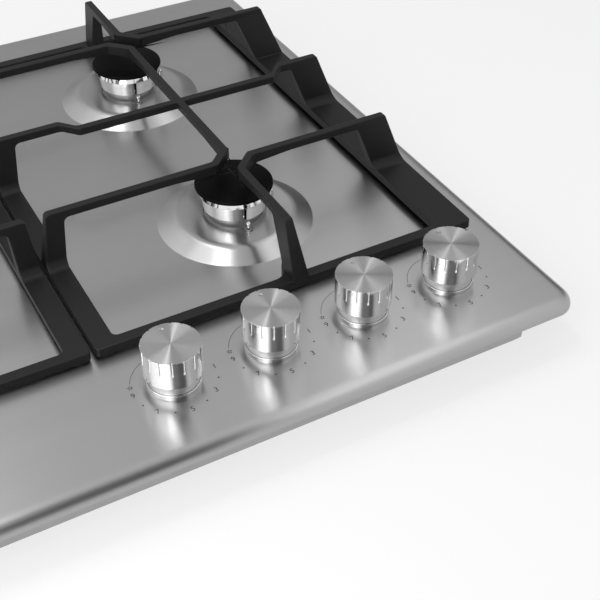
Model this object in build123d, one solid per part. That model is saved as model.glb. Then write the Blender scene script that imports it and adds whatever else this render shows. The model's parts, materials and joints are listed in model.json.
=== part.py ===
from build123d import *
import math
import os

os.makedirs("parts", exist_ok=True)

# ---------------------------------------------------------------- driving dimensions (mm)
# Origin: bottom centre of the overall box. X to the right, Y to the rear, Z up.

# pressed steel top
PLATE_W = 590.0          # left to right
PLATE_D = 520.0          # front to rear
PLATE_Z = 41.0           # height of the top surface above the tray's underside
SHEET = 1.5              # steel sheet
RIM_DROP = 10.0          # rim below the top surface
RIM_ROUND = 6.5          # rounding of the rim
PLATE_CORNER = 13.0      # corner radius in plan

# raised seats pressed into the top, one round each burner
BURNER_X = 139.0         # burner centres, left and right of the middle
BURNER_FRONT_Y = -73.5
BURNER_REAR_Y = 118.0
BURNERS = (
    (-BURNER_X, BURNER_FRONT_Y),
    (-BURNER_X, BURNER_REAR_Y),
    (BURNER_X, BURNER_FRONT_Y),
    (BURNER_X, BURNER_REAR_Y),
)
SEAT_BASE_R = 54.4       # foot of the slope
SEAT_TOP_R = 41.5        # crest of the slope
SEAT_RISE = 7.5
SEAT_ROUND = 12.0        # rounding of the crest
SEAT_HOLE_R = 22.0

# tray and seal below the top
TRAY_W = 544.0
TRAY_D = 474.0
TRAY_WALL = 1.2
TRAY_CORNER = 14.0       # corner radius in plan
TRAY_ROUND = 5.0         # rounding of the lower edge
TRAY_FLANGE = 8.0        # flange that carries the top
TRAY_TOP = PLATE_Z - SHEET
TRAY_BACK = TRAY_D / 2
BEAD_DEPTH = 1.0         # stiffening beads pressed into the tray's floor
BEAD_W = 16.0
BEAD_L = 300.0
BEAD_Y = (-100.0, 0.0, 100.0)
SEAL_GAP = 7.0           # from the rim's outer edge to the seal
SEAL_W = 7.0

# gas rail along the front, down the right side and out at the rear
RAIL_R = 8.0
RAIL_WALL = 1.5
RAIL_BEND = 18.0
RAIL_Y = -222.0
RAIL_Z = 16.0            # also the height of the inlet and of the cable gland
RAIL_LEFT_X = -20.0
RAIL_SIDE_X = 260.0
INLET_THREAD_R = 10.48   # half-inch pipe thread, outside
INLET_THREAD_L = 10.0
INLET_NUT_R = 14.0       # across the nut's corners, halved
INLET_NUT_L = 8.0
BRACKET_X = (-5.0, 67.5, 197.5)
BRACKET_W = 12.0
BRACKET_SHEET = 1.5
SCREW_R = 2.0
SCREW_HEAD_R = 3.6
SCREW_AHEAD = 17.0       # bracket screw behind the rail

# knobs and valves
KNOB_X = (35.0, 100.0, 165.0, 230.0)
KNOB_Y = -201.6
KNOB_R = 18.0
KNOB_TOP = PLATE_Z + 30.0
KNOB_HEAD = 20.0         # height of the fluted head
KNOB_SKIRT = 6.4         # height of the tapered skirt below it
KNOB_EDGE = 0.4          # bevel of the head's upper edge
KNOB_FLUTES = 16
FLUTE_R = 0.65
FLUTE_L = 10.0
SPINDLE_R = 4.0
SPINDLE_TOP = PLATE_Z + 24.0
FLAT_AT = 2.4            # flat of the spindle's D section, off its axis
FLAT_L = 16.0
VALVE_HALF_W = 11.0
VALVE_LOW = 9.0
VALVE_TOP = 34.0
VALVE_NECK_TOP = 37.0
VALVE_REAR_Y = -190.0
PLUG_R = 6.0
PLUG_LOW = 12.5
PLUG_TOP = 26.0
PLUG_FIT = 0.05          # radial clearance of the plug
SPINDLE_FIT = 0.08
TANG_W = 3.0             # tang below the spindle that turns the plug
TANG_L = 7.2
PORT_R = 2.5             # gas passage from the rail into the valve

# pipes to the burners
PIPE_R = 4.0
PIPE_WALL = 1.0
PIPE_BEND = 10.0
PIPE_Z = 24.0
PIPE_FIT = 0.02
SOCKET_R = 6.5           # sockets that the pipes end in
CUP_SOCKET = 30.0        # from a burner's centre to the end of its socket

# burners, heights above the top surface
CUP_R = 19.5
CUP_BORE = 17.5
CUP_LOW = -24.0
HUB_R = 8.0              # hub in the cup that holds the injector
HUB_TOP = -10.0
CUP_FLANGE_R = 30.0
CUP_FLANGE = 2.6
NECK_TOP = 13.0
WALL_TOP = 23.6          # crown's side wall
COLLAR_R = 24.4          # cone above it, below the flame ports
COLLAR_TOP = 27.1
CROWN_TOP = 29.4
CROWN_PORTS = 24
CAP_R = 27.0
CAP_EDGE = 2.2           # height of the cap's edge
IGNITER_ANGLE = -95.0    # degrees from +X
IGNITER_R = 25.6         # distance from the burner's centre
SENSOR_ANGLE = -15.0
SENSOR_R = 25.9

# electrical pieces in the tray
GLAND_X = 60.0
GLAND_R = 5.95
GLAND_COLLAR_R = 9.0
GLAND_BORE_R = 3.6
SPARK_BOX = (-55.0, 15.0, 165.0, 210.0, TRAY_WALL, 29.0)
SPARK_OUTLETS = 4
SPARK_PITCH = 18.0
TERMINAL_BOX = (GLAND_X - 20.0, GLAND_X + 20.0, 196.0, 218.0, TRAY_WALL, 20.0)
TERMINAL_PITCH = 12.0

# pan supports
SUPPORT_TOP = PLATE_Z + 50.0
FINGER_W = 5.5
FINGER_H = 5.8
NOSE_H = 8.0             # fingers are deeper at their tips
NOSE_L = 30.0
TIP_GAP = 13.0           # tips stop this far from the burner's centre lines
BAND_LOW = PLATE_Z + 2.0  # frame band, lifted by the pads
BAND_TOP = PLATE_Z + 8.5
SUPPORT_X = (1.5, 15.7, 250.0, 275.0)        # inner band and outer band
SUPPORT_Y = (-164.0, -156.0, 200.5, 208.5)   # front band and rear band
SUPPORT_MID_Y = (BURNER_FRONT_Y + BURNER_REAR_Y) / 2
LEG_FLARE = 6.0          # legs grow wider to one side towards the band
LEG_FOOT_ROUND = 7.0     # hollow rounding at the foot on the other side
LEG_TOP_ROUND = 3.0
LEG_ARMPIT = 4.0         # hollow rounding between a leg and its finger
LEG_REACH_X = (26.0, 226.0)   # side legs run into their fingers as far as this
LEG_REACH_Y = -126.0          # front leg
FINGER_ROOT_X = (24.0, 230.0)
FINGER_ROOT_Y = -130.0
CROSS_END_Y = 25.0       # cross bar at the legs
CROSS_MID_Y = 13.5       # cross bar between its two jogs
JOG = (52.0, 62.0)       # left jog along X, the right one mirrors it
BAR_ROUND = 5.0          # inner corners where bars turn or meet
PAD_R = 5.0


# ---------------------------------------------------------------- helpers
def save(shape, name):
    """Write one named piece as a STEP file."""
    shape.label = name
    export_step(shape, f"parts/{name}.step")


def save_group(shapes, name):
    """Write identical small pieces together, each still its own solid."""
    save(Compound(children=list(shapes)), name)


def cyl(r, z0, z1, x=0.0, y=0.0):
    """Upright cylinder between two heights."""
    return Pos(x, y, (z0 + z1) / 2) * Cylinder(r, z1 - z0)


def rod(r, y0, y1, x, z):
    """Cylinder that runs from front to rear."""
    return Pos(x, (y0 + y1) / 2, z) * Rot(90, 0, 0) * Cylinder(r, y1 - y0)


def block(x0, x1, y0, y1, z0, z1):
    """Box given by its six faces."""
    size = (x1 - x0, y1 - y0, z1 - z0)
    return Pos((x0 + x1) / 2, (y0 + y1) / 2, (z0 + z1) / 2) * Box(*size)


def slab(width, depth, corner, z0, z1):
    """Rounded rectangle raised between two heights, centred on the origin."""
    return Pos(0, 0, z0) * extrude(RectangleRounded(width, depth, corner), z1 - z0)


def outline(corners, place):
    """Flat face from corners (a, b) or (a, b, rounding), put into space by place(a, b)."""
    face = make_face(Polyline(*[place(a, b) for a, b, *_ in corners], close=True)).faces()[0]
    for a, b, *rounding in corners:
        if rounding:
            corner = face.vertices().sort_by_distance(place(a, b))[0]
            face = face.fillet_2d(rounding[0], [corner])
    return face


def turned(corners):
    """Solid of revolution about Z from (radius, height) corners."""
    return revolve(outline(corners, lambda r, z: (r, 0, z)), Axis.Z)


def xz_plate(corners, y0, y1):
    """Outline drawn in X and Z, given thickness from y0 to y1."""
    return extrude(outline(corners, lambda x, z: (x, y0, z)), y1 - y0, dir=(0, 1, 0))


def yz_plate(corners, x0, x1):
    """Outline drawn in Y and Z, given thickness from x0 to x1."""
    return extrude(outline(corners, lambda y, z: (x0, y, z)), x1 - x0, dir=(1, 0, 0))


def plan_plate(corners, z0, z1):
    """Outline drawn in plan, raised between two heights."""
    return extrude(outline(corners, lambda x, y: (x, y, z0)), z1 - z0, dir=(0, 0, 1))


def tube(points, bend, outer, inner):
    """Bent round tube along a path of straight runs."""
    path = FilletPolyline(*points, radius=bend)
    start = Plane(origin=path @ 0, z_dir=path % 0)
    ring = start * (Circle(outer) - Circle(inner))
    return sweep(ring, path=path)


def around(angle, radius, cx=0.0, cy=0.0):
    """Point on a circle, angle in degrees from +X."""
    a = math.radians(angle)
    return cx + radius * math.cos(a), cy + radius * math.sin(a)


def up(corners):
    """Shift (radius, height) corners from the top surface to the part's frame."""
    return [(r, z + PLATE_Z, *rounding) for r, z, *rounding in corners]


def rounded_pan(width, depth, corner, z0, z1, edge):
    """Solid block with a rounded upper edge."""
    body = slab(width, depth, corner, z0, z1)
    return fillet(body.edges().group_by(Axis.Z)[-1], edge)


# ---------------------------------------------------------------- top, tray and seal
def hob_top():
    """Pressed sheet with a turned-down rim, four raised seats, and holes for what comes through."""
    outside = rounded_pan(PLATE_W, PLATE_D, PLATE_CORNER, PLATE_Z - RIM_DROP, PLATE_Z, RIM_ROUND)
    inside = rounded_pan(
        PLATE_W - 2 * SHEET,
        PLATE_D - 2 * SHEET,
        PLATE_CORNER - SHEET,
        PLATE_Z - RIM_DROP - 1,
        PLATE_Z - SHEET,
        RIM_ROUND - SHEET,
    )
    skin = turned(up([
        (0, -SHEET),
        (SEAT_BASE_R, -SHEET),
        (SEAT_BASE_R, 0),
        (SEAT_TOP_R, SEAT_RISE, SEAT_ROUND),
        (0, SEAT_RISE),
    ]))
    room = turned(up([
        (0, -2 * SHEET),
        (SEAT_BASE_R - SHEET, -2 * SHEET),
        (SEAT_BASE_R - SHEET, -SHEET),
        (SEAT_TOP_R - SHEET, SEAT_RISE - SHEET),
        (0, SEAT_RISE - SHEET),
    ]))
    top = outside - inside
    for cx, cy in BURNERS:
        top = top + Pos(cx, cy, 0) * skin
    for cx, cy in BURNERS:
        top = top - Pos(cx, cy, 0) * room
        top = top - cyl(SEAT_HOLE_R, PLATE_Z, PLATE_Z + 12, cx, cy)
        top = top - cyl(3.2, PLATE_Z, PLATE_Z + 12, *around(IGNITER_ANGLE, IGNITER_R, cx, cy))
        top = top - cyl(2.6, PLATE_Z, PLATE_Z + 12, *around(SENSOR_ANGLE, SENSOR_R, cx, cy))
    for kx in KNOB_X:
        top = top - cyl(7.0, PLATE_Z - 3, PLATE_Z + 1, kx, KNOB_Y)
    return top


def under_tray():
    """Pressed tray with a flange, three stiffening beads, and holes at the rear for gas and mains."""
    body = slab(TRAY_W, TRAY_D, TRAY_CORNER, 0, TRAY_TOP)
    body = fillet(body.edges().group_by(Axis.Z)[0], TRAY_ROUND)
    room = slab(
        TRAY_W - 2 * TRAY_WALL,
        TRAY_D - 2 * TRAY_WALL,
        TRAY_CORNER - TRAY_WALL,
        TRAY_WALL,
        TRAY_TOP + 1,
    )
    room = fillet(room.edges().group_by(Axis.Z)[0], TRAY_ROUND - TRAY_WALL)
    flange = slab(
        TRAY_W + 2 * TRAY_FLANGE,
        TRAY_D + 2 * TRAY_FLANGE,
        TRAY_CORNER + TRAY_FLANGE,
        TRAY_TOP - TRAY_WALL,
        TRAY_TOP,
    )
    tray = body + flange - room
    bead = extrude(SlotOverall(BEAD_L, BEAD_W), BEAD_DEPTH)
    for y in BEAD_Y:
        tray = tray + Pos(0, y, TRAY_WALL) * bead - Pos(0, y, 0) * bead
    tray = tray - rod(RAIL_R + 0.1, TRAY_BACK - 10, TRAY_BACK + 10, RAIL_SIDE_X, RAIL_Z)
    tray = tray - rod(GLAND_R + 0.05, TRAY_BACK - 10, TRAY_BACK + 10, GLAND_X, RAIL_Z)
    for x in BRACKET_X:
        tray = tray - cyl(SCREW_R + 0.05, -1, 3, x, RAIL_Y + SCREW_AHEAD)
    return tray


def worktop_seal():
    """Foam strip inside the rim, between the tray's flange and the worktop."""
    width, depth = PLATE_W - 2 * SEAL_GAP, PLATE_D - 2 * SEAL_GAP
    low = PLATE_Z - RIM_DROP
    ring = slab(width, depth, SEAL_W, low, TRAY_TOP)
    return ring - slab(width - 2 * SEAL_W, depth - 2 * SEAL_W, 22.0, low - 1, TRAY_TOP + 1)


# ---------------------------------------------------------------- gas rail, brackets and inlet
def gas_rail():
    """Round tube closed at its left end, with a port into each valve."""
    path = [
        (RAIL_LEFT_X, RAIL_Y, RAIL_Z),
        (RAIL_SIDE_X, RAIL_Y, RAIL_Z),
        (RAIL_SIDE_X, TRAY_BACK + 4.0, RAIL_Z),
    ]
    rail = tube(path, RAIL_BEND, RAIL_R, RAIL_R - RAIL_WALL)
    rail = rail + Pos(RAIL_LEFT_X, RAIL_Y, RAIL_Z) * Rot(0, 90, 0) * Cylinder(RAIL_R, 2 * RAIL_WALL)
    for kx in KNOB_X:
        rail = rail - rod(PORT_R, RAIL_Y + 4, RAIL_Y + RAIL_R + 2, kx, RAIL_Z)
    return rail


def gas_inlet():
    """Six-sided nut and threaded nipple at the rail's rear end."""
    y0 = TRAY_BACK + 4.0
    nut = Pos(RAIL_SIDE_X, y0 + INLET_NUT_L / 2, RAIL_Z) * Rot(90, 0, 0) * extrude(
        RegularPolygon(INLET_NUT_R, 6), INLET_NUT_L / 2, both=True
    )
    thread = rod(INLET_THREAD_R, y0 + INLET_NUT_L, y0 + INLET_NUT_L + INLET_THREAD_L, RAIL_SIDE_X, RAIL_Z)
    return nut + thread - rod(RAIL_R - RAIL_WALL, y0 - 5, y0 + 25, RAIL_SIDE_X, RAIL_Z)


def rail_bracket(x):
    """Saddle under the rail with an ear for its screw."""
    half = BRACKET_W / 2
    front = RAIL_Y - RAIL_R - 1.6
    ear = block(x - half, x + half, front, RAIL_Y + 24, TRAY_WALL, TRAY_WALL + BRACKET_SHEET)
    saddle = block(x - half, x + half, front, RAIL_Y + RAIL_R + 1.6, TRAY_WALL, RAIL_Z)
    strap = ear + saddle - Pos(x, RAIL_Y, RAIL_Z) * Rot(0, 90, 0) * Cylinder(RAIL_R, 20)
    return strap - cyl(SCREW_R + 0.05, 0, 6, x, RAIL_Y + SCREW_AHEAD)


def bracket_screw(x):
    """Slotted screw through a bracket's ear."""
    y = RAIL_Y + SCREW_AHEAD
    low = TRAY_WALL + BRACKET_SHEET
    screw = cyl(SCREW_HEAD_R, low, low + 2.5, x, y) + cyl(SCREW_R, 0.2, low, x, y)
    return screw - block(x - 4, x + 4, y - 0.5, y + 0.5, low + 1.7, low + 4)


# ---------------------------------------------------------------- valves, spindles and knobs
def valve_body(x):
    """Gas valve clamped on the rail, with a bore for its plug and an outlet to the rear."""
    body = block(x - VALVE_HALF_W, x + VALVE_HALF_W, RAIL_Y + 4, VALVE_REAR_Y, VALVE_LOW, VALVE_TOP)
    body = fillet(body.edges().filter_by(Axis.Z), 2.0)
    body = body + cyl(9.0, VALVE_TOP, VALVE_NECK_TOP, x, KNOB_Y)
    body = body + rod(SOCKET_R, VALVE_REAR_Y, VALVE_REAR_Y + 6, x, PIPE_Z)
    body = body - Pos(x, RAIL_Y, RAIL_Z) * Rot(0, 90, 0) * Cylinder(RAIL_R + PIPE_FIT, 40)
    body = body - cyl(PLUG_R + PLUG_FIT, PLUG_LOW - 0.3, PLUG_TOP + 4, x, KNOB_Y)
    body = body - cyl(SPINDLE_R + SPINDLE_FIT, PLUG_TOP, VALVE_NECK_TOP + 3, x, KNOB_Y)
    body = body - rod(PIPE_R + PIPE_FIT, KNOB_Y + 5, VALVE_REAR_Y + 7, x, PIPE_Z)
    return body - rod(PORT_R, RAIL_Y + 3, KNOB_Y - 1, x, RAIL_Z)


def valve_plug(x):
    """Turning plug with a cross hole for the gas and a slot for the spindle's tang."""
    plug = cyl(PLUG_R, PLUG_LOW, PLUG_TOP, x, KNOB_Y)
    half_w, half_l = TANG_W / 2 + 0.15, TANG_L / 2 + 0.55
    plug = plug - block(x - half_w, x + half_w, KNOB_Y - half_l, KNOB_Y + half_l, 19.0, PLUG_TOP + 1)
    return plug - rod(1.6, KNOB_Y - 10, KNOB_Y + 10, x, RAIL_Z)


def spindle(x):
    """Round spindle with a flat at the top and a tang at the bottom."""
    shaft_low = PLUG_TOP + 3.5
    shaft = cyl(SPINDLE_R, shaft_low, SPINDLE_TOP, x, KNOB_Y)
    flat = block(x - 5, x + 5, KNOB_Y + FLAT_AT, KNOB_Y + 6, SPINDLE_TOP - FLAT_L, SPINDLE_TOP + 1)
    half_w, half_l = TANG_W / 2, TANG_L / 2
    tang = block(x - half_w, x + half_w, KNOB_Y - half_l, KNOB_Y + half_l, 22.5, shaft_low)
    return shaft - flat + tang


def knob(x):
    """Fluted metal knob on a narrower skirt, hollow round its boss, with a dimple as a pointer."""
    head_low = KNOB_TOP - KNOB_HEAD
    skirt_low = head_low - KNOB_SKIRT
    solid = turned([
        (0, skirt_low),
        (15.4, skirt_low),
        (15.7, skirt_low + 3.0),
        (16.4, head_low),
        (KNOB_R - 0.2, head_low),
        (KNOB_R, head_low + 0.2),
        (KNOB_R, KNOB_TOP - KNOB_EDGE),
        (KNOB_R - KNOB_EDGE, KNOB_TOP),
        (0, KNOB_TOP),
    ])
    hollow = cyl(12.6, skirt_low - 1, KNOB_TOP - 4) - cyl(7.0, skirt_low - 2, KNOB_TOP)
    bore = cyl(SPINDLE_R, skirt_low - 2, SPINDLE_TOP)
    key = block(-5, 5, FLAT_AT, 6, SPINDLE_TOP - FLAT_L, SPINDLE_TOP + 1)
    body = solid - hollow - (bore - key)
    for i in range(KNOB_FLUTES):
        at = around(90 + i * 360 / KNOB_FLUTES, KNOB_R + 0.15)
        body = body - cyl(FLUTE_R, KNOB_TOP - FLUTE_L, KNOB_TOP + 1, *at)
    body = body - cyl(1.2, KNOB_TOP - 0.4, KNOB_TOP + 1, 0, 13.6)
    return Pos(x, KNOB_Y, 0) * body


def knob_bezel(x):
    """Bright ring on the top round the foot of a knob; the skirt slides into it when pressed."""
    ring = turned(up([(15.95, 0), (16.75, 0), (16.5, 2.9, 0.25), (15.95, 2.9)]))
    return Pos(x, KNOB_Y, 0) * ring


def spindle_seal(x):
    """Rubber washer between the valve's neck and the top."""
    return cyl(8.6, VALVE_NECK_TOP, TRAY_TOP, x, KNOB_Y) - cyl(SPINDLE_R + 0.4, 36, 41, x, KNOB_Y)


def ignition_switch(x):
    """Switch beside a valve, worked when its spindle is pressed."""
    right = x - VALVE_HALF_W
    case = block(right - 8, right, KNOB_Y - 8, KNOB_Y + 8, 20, 33)
    lever = block(right - 9, right - 8, KNOB_Y - 6, KNOB_Y + 2, 28, 33)
    return fillet(case.edges().filter_by(Axis.Z), 1.0) + lever


# ---------------------------------------------------------------- burners, each about the origin
def burner_cup():
    """Cup below a burner, with a flange under the top, a hub for the injector and a pipe socket."""
    flange_top = SEAT_RISE - SHEET
    cup = turned(up([
        (0, CUP_LOW),
        (CUP_R, CUP_LOW),
        (CUP_R, flange_top - CUP_FLANGE),
        (CUP_FLANGE_R, flange_top - CUP_FLANGE),
        (CUP_FLANGE_R, flange_top),
        (CUP_R, flange_top),
        (CUP_R, NECK_TOP),
        (CUP_BORE, NECK_TOP),
        (CUP_BORE, CUP_LOW + 2.5),
        (HUB_R, CUP_LOW + 2.5),
        (HUB_R, HUB_TOP),
        (0, HUB_TOP),
    ]))
    cup = cup + rod(SOCKET_R, -CUP_SOCKET, -HUB_R / 2, 0, PIPE_Z)
    cup = cup - cyl(3.5, PIPE_Z - 3, PLATE_Z)
    cup = cup - rod(2.6, -CUP_SOCKET - 2, 0, 0, PIPE_Z)
    cup = cup - rod(PIPE_R + PIPE_FIT, -CUP_SOCKET - 2, -CUP_SOCKET + 6, 0, PIPE_Z)
    cup = cup - cyl(2.25, PLATE_Z, PLATE_Z + 8, *around(IGNITER_ANGLE, IGNITER_R))
    return cup - cyl(1.75, PLATE_Z, PLATE_Z + 8, *around(SENSOR_ANGLE, SENSOR_R))


def injector():
    """Brass jet seated in the cup's hub, with a fine bore."""
    seat = PLATE_Z + HUB_TOP
    return turned([
        (0.6, PIPE_Z + 4),
        (3.45, PIPE_Z + 4),
        (3.45, seat),
        (5.0, seat),
        (5.0, seat + 4),
        (2.5, seat + 6),
        (0.6, seat + 6),
    ])


def burner_crown():
    """Polished crown that stands in the cup, with flame ports above its collar and a spark slot."""
    crown = turned(up([
        (15.6, 5.0),
        (17.1, 5.0),
        (17.1, NECK_TOP),
        (22.0, NECK_TOP),
        (23.2, WALL_TOP),
        (COLLAR_R, WALL_TOP + 0.5),
        (COLLAR_R, WALL_TOP + 0.8),
        (23.0, COLLAR_TOP),
        (23.0, CROWN_TOP),
        (20.5, CROWN_TOP),
        (20.5, 18.0),
        (9.0, 18.0),
        (9.0, 2.0),
        (7.6, 2.0),
        (7.6, 15.6),
        (15.6, 15.6),
    ]))
    top = PLATE_Z + CROWN_TOP
    for i in range(CROWN_PORTS):
        port = block(19.0, 27.0, -0.6, 0.6, PLATE_Z + COLLAR_TOP + 0.2, top + 1)
        crown = crown - Rot(0, 0, i * 360 / CROWN_PORTS + 2.5) * port
    slot = block(21.0, 27.0, -0.9, 0.9, PLATE_Z + NECK_TOP - 1, PLATE_Z + WALL_TOP)
    return crown - Rot(0, 0, IGNITER_ANGLE - 2) * slot


def burner_cap():
    """Enamelled lid with a rounded edge, a slight crown and a ring below that centres it."""
    return turned(up([
        (0, CROWN_TOP),
        (18.6, CROWN_TOP),
        (18.6, CROWN_TOP - 2.8),
        (20.2, CROWN_TOP - 2.8),
        (20.2, CROWN_TOP),
        (CAP_R, CROWN_TOP, 0.3),
        (CAP_R, CROWN_TOP + CAP_EDGE, 1.3),
        (14.0, CROWN_TOP + CAP_EDGE + 0.4),
        (0, CROWN_TOP + CAP_EDGE + 0.5),
    ]))


def igniter():
    """Spark electrode: ceramic body with a collar and a steel tip shaped like a nail's head."""
    body = cyl(2.2, PLATE_Z - 7, PLATE_Z + 8.6) + cyl(3.4, PLATE_Z - 4, PLATE_Z + 3.4)
    wire = cyl(0.9, PLATE_Z + 8.6, PLATE_Z + 12) + cyl(1.3, PLATE_Z - 10, PLATE_Z - 7)
    return body + wire + cyl(1.5, PLATE_Z + 12, PLATE_Z + 13.4)


def flame_sensor():
    """Round-ended probe with a collar."""
    probe = cyl(1.7, PLATE_Z - 12, PLATE_Z + 21)
    probe = fillet(probe.edges().group_by(Axis.Z)[-1], 1.2)
    return probe + cyl(3.0, PLATE_Z - 4, PLATE_Z + 3.4)


# ---------------------------------------------------------------- electrical pieces in the tray
def spark_generator():
    """Closed box with four outlets at the front for the spark leads."""
    x0, _, y0, _, _, z1 = SPARK_BOX
    case = fillet(block(*SPARK_BOX).edges().filter_by(Axis.Z), 3.0)
    for i in range(SPARK_OUTLETS):
        case = case + rod(3.0, y0 - 6, y0, x0 + 8 + i * SPARK_PITCH, z1 - 9)
    return case


def terminal_block():
    """Mains terminals with three screw wells."""
    _, _, y0, y1, _, z1 = TERMINAL_BOX
    case = block(*TERMINAL_BOX)
    for i in (-1, 0, 1):
        case = case - cyl(2.6, z1 - 6, z1 + 1, GLAND_X + i * TERMINAL_PITCH, (y0 + y1) / 2)
    return case


def cable_gland():
    """Bush with a collar where the mains lead comes in."""
    gland = rod(GLAND_R, TRAY_BACK - 8, TRAY_BACK + 4, GLAND_X, RAIL_Z)
    gland = gland + rod(GLAND_COLLAR_R, TRAY_BACK, TRAY_BACK + 4, GLAND_X, RAIL_Z)
    return gland - rod(GLAND_BORE_R, TRAY_BACK - 15, TRAY_BACK + 15, GLAND_X, RAIL_Z)


# ---------------------------------------------------------------- pan supports
HALF = FINGER_W / 2
BAR_LOW = SUPPORT_TOP - FINGER_H
NOSE_LOW = SUPPORT_TOP - NOSE_H


def side_leg_width(y):
    """Front limits of a side leg: hollow foot in front, wider towards the band at the rear."""
    front, rear = y - HALF, y + HALF
    return yz_plate(
        [
            (front, SUPPORT_TOP),
            (front, BAND_TOP, LEG_FOOT_ROUND),
            (front - LEG_FOOT_ROUND - 1, BAND_TOP),
            (front - LEG_FOOT_ROUND - 1, BAND_LOW),
            (rear + LEG_FLARE, BAND_LOW),
            (rear + LEG_FLARE, BAND_TOP),
            (rear, SUPPORT_TOP - 4),
            (rear, SUPPORT_TOP),
        ],
        0,
        SUPPORT_X[3] + 1,
    )


def inner_leg(y):
    """Leg on the inner band, nearly upright, in the plane of its finger."""
    x0, x1 = SUPPORT_X[0], SUPPORT_X[1]
    side = xz_plate(
        [
            (x0, BAND_LOW),
            (x0, BAND_TOP),
            (x0 + 5.2, SUPPORT_TOP, LEG_TOP_ROUND),
            (LEG_REACH_X[0], SUPPORT_TOP),
            (LEG_REACH_X[0], BAR_LOW),
            (x1 + 2.9, BAR_LOW, LEG_ARMPIT),
            (x1, BAND_TOP),
            (x1, BAND_LOW),
        ],
        y - 12,
        y + 12,
    )
    return side & side_leg_width(y)


def outer_leg(y):
    """Leg on the outer band, leaning outwards."""
    x2, x3 = SUPPORT_X[2], SUPPORT_X[3]
    side = xz_plate(
        [
            (x3, BAND_LOW),
            (x3, BAND_TOP),
            (x3 - 16.6, SUPPORT_TOP, LEG_TOP_ROUND),
            (LEG_REACH_X[1], SUPPORT_TOP),
            (LEG_REACH_X[1], BAR_LOW),
            (x2 - 14.0, BAR_LOW, LEG_ARMPIT),
            (x2, BAND_TOP),
            (x2, BAND_LOW),
        ],
        y - 12,
        y + 12,
    )
    return side & side_leg_width(y)


def front_leg():
    """Leg on the front band in the plane of the front finger, leaning forwards."""
    y0, y1 = SUPPORT_Y[0], SUPPORT_Y[1]
    left, right = BURNER_X - HALF, BURNER_X + HALF
    rear = y1 + 9.2
    side = yz_plate(
        [
            (y0, BAND_LOW),
            (y0, BAND_TOP),
            (y0 + 11.4, SUPPORT_TOP, LEG_TOP_ROUND),
            (LEG_REACH_Y, SUPPORT_TOP),
            (LEG_REACH_Y, BAR_LOW),
            (y1 + 21.0, BAR_LOW, LEG_ARMPIT),
            (rear, BAND_TOP + 5.5),
            (rear, BAND_LOW),
        ],
        left - 20,
        right + 20,
    )
    front = xz_plate(
        [
            (left, BAND_LOW),
            (left, SUPPORT_TOP),
            (right, SUPPORT_TOP),
            (right + LEG_FLARE, BAND_TOP),
            (right + LEG_FLARE, BAND_LOW),
        ],
        y0 - 2,
        LEG_REACH_Y + 2,
    )
    foot = plan_plate(
        [
            (left - 10, y0 + 3),
            (left - 10, y1),
            (left, y1, 9.0),
            (left, rear),
            (left + 1, rear),
            (left + 1, y0 + 3),
        ],
        BAND_LOW,
        BAND_TOP,
    )
    return side & front, foot


def burner_fingers():
    """Two pairs of fingers round the front burner, each pair joined by a slanting tip."""
    x, y = BURNER_X, BURNER_FRONT_Y

    def finger(root, tip, way):
        """Outline of a finger seen from its side, deeper towards its tip."""
        return [
            (root, BAR_LOW),
            (root, SUPPORT_TOP),
            (tip, SUPPORT_TOP),
            (tip, NOSE_LOW),
            (tip + way * NOSE_L, BAR_LOW),
        ]

    fingers = xz_plate(finger(FINGER_ROOT_X[0], x - TIP_GAP, -1), y - HALF, y + HALF)
    fingers = fingers + xz_plate(finger(FINGER_ROOT_X[1], x + TIP_GAP, 1), y - HALF, y + HALF)
    fingers = fingers + yz_plate(finger(CROSS_MID_Y, y + TIP_GAP, 1), x - HALF, x + HALF)
    fingers = fingers + yz_plate(finger(FINGER_ROOT_Y, y - TIP_GAP, -1), x - HALF, x + HALF)
    bite = HALF * math.tan(math.radians(22.5))
    tip = [
        (-TIP_GAP - bite - 3, HALF),
        (-TIP_GAP - bite - 3, -HALF),
        (-TIP_GAP + bite, -HALF, BAR_ROUND),
        (HALF, TIP_GAP - bite, BAR_ROUND),
        (HALF, TIP_GAP + bite + 3),
        (-HALF, TIP_GAP + bite + 3),
        (-HALF, TIP_GAP + bite, BAR_ROUND),
        (-TIP_GAP - bite, HALF, BAR_ROUND),
    ]
    rear_tip = plan_plate([(x + px, y + py, *r) for px, py, *r in tip], NOSE_LOW, SUPPORT_TOP)
    front_tip = plan_plate([(x - px, y - py, *r) for px, py, *r in tip], NOSE_LOW, SUPPORT_TOP)
    return fingers + rear_tip + front_tip


def cross_bar():
    """Bar across the middle with a jog towards the front between its two legs."""
    end, mid = CROSS_END_Y, CROSS_MID_Y
    left, right = JOG[0], 2 * BURNER_X - JOG[0]
    step = JOG[1] - JOG[0]
    return plan_plate(
        [
            (FINGER_ROOT_X[0] - 2, end - HALF),
            (left, end - HALF, BAR_ROUND),
            (left + step, mid - HALF, BAR_ROUND),
            (right - step, mid - HALF, BAR_ROUND),
            (right, end - HALF, BAR_ROUND),
            (FINGER_ROOT_X[1] + 2, end - HALF),
            (FINGER_ROOT_X[1] + 2, end + HALF),
            (right, end + HALF, BAR_ROUND),
            (right - step, mid + HALF, BAR_ROUND),
            (left + step, mid + HALF, BAR_ROUND),
            (left, end + HALF, BAR_ROUND),
            (FINGER_ROOT_X[0] - 2, end + HALF),
        ],
        BAR_LOW,
        SUPPORT_TOP,
    )


def flip(shape):
    """Mirror a shape in the plane half way between the front and the rear burner."""
    return mirror(shape, Plane(origin=(0, SUPPORT_MID_Y, 0), x_dir=(1, 0, 0), z_dir=(0, 1, 0)))


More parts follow.
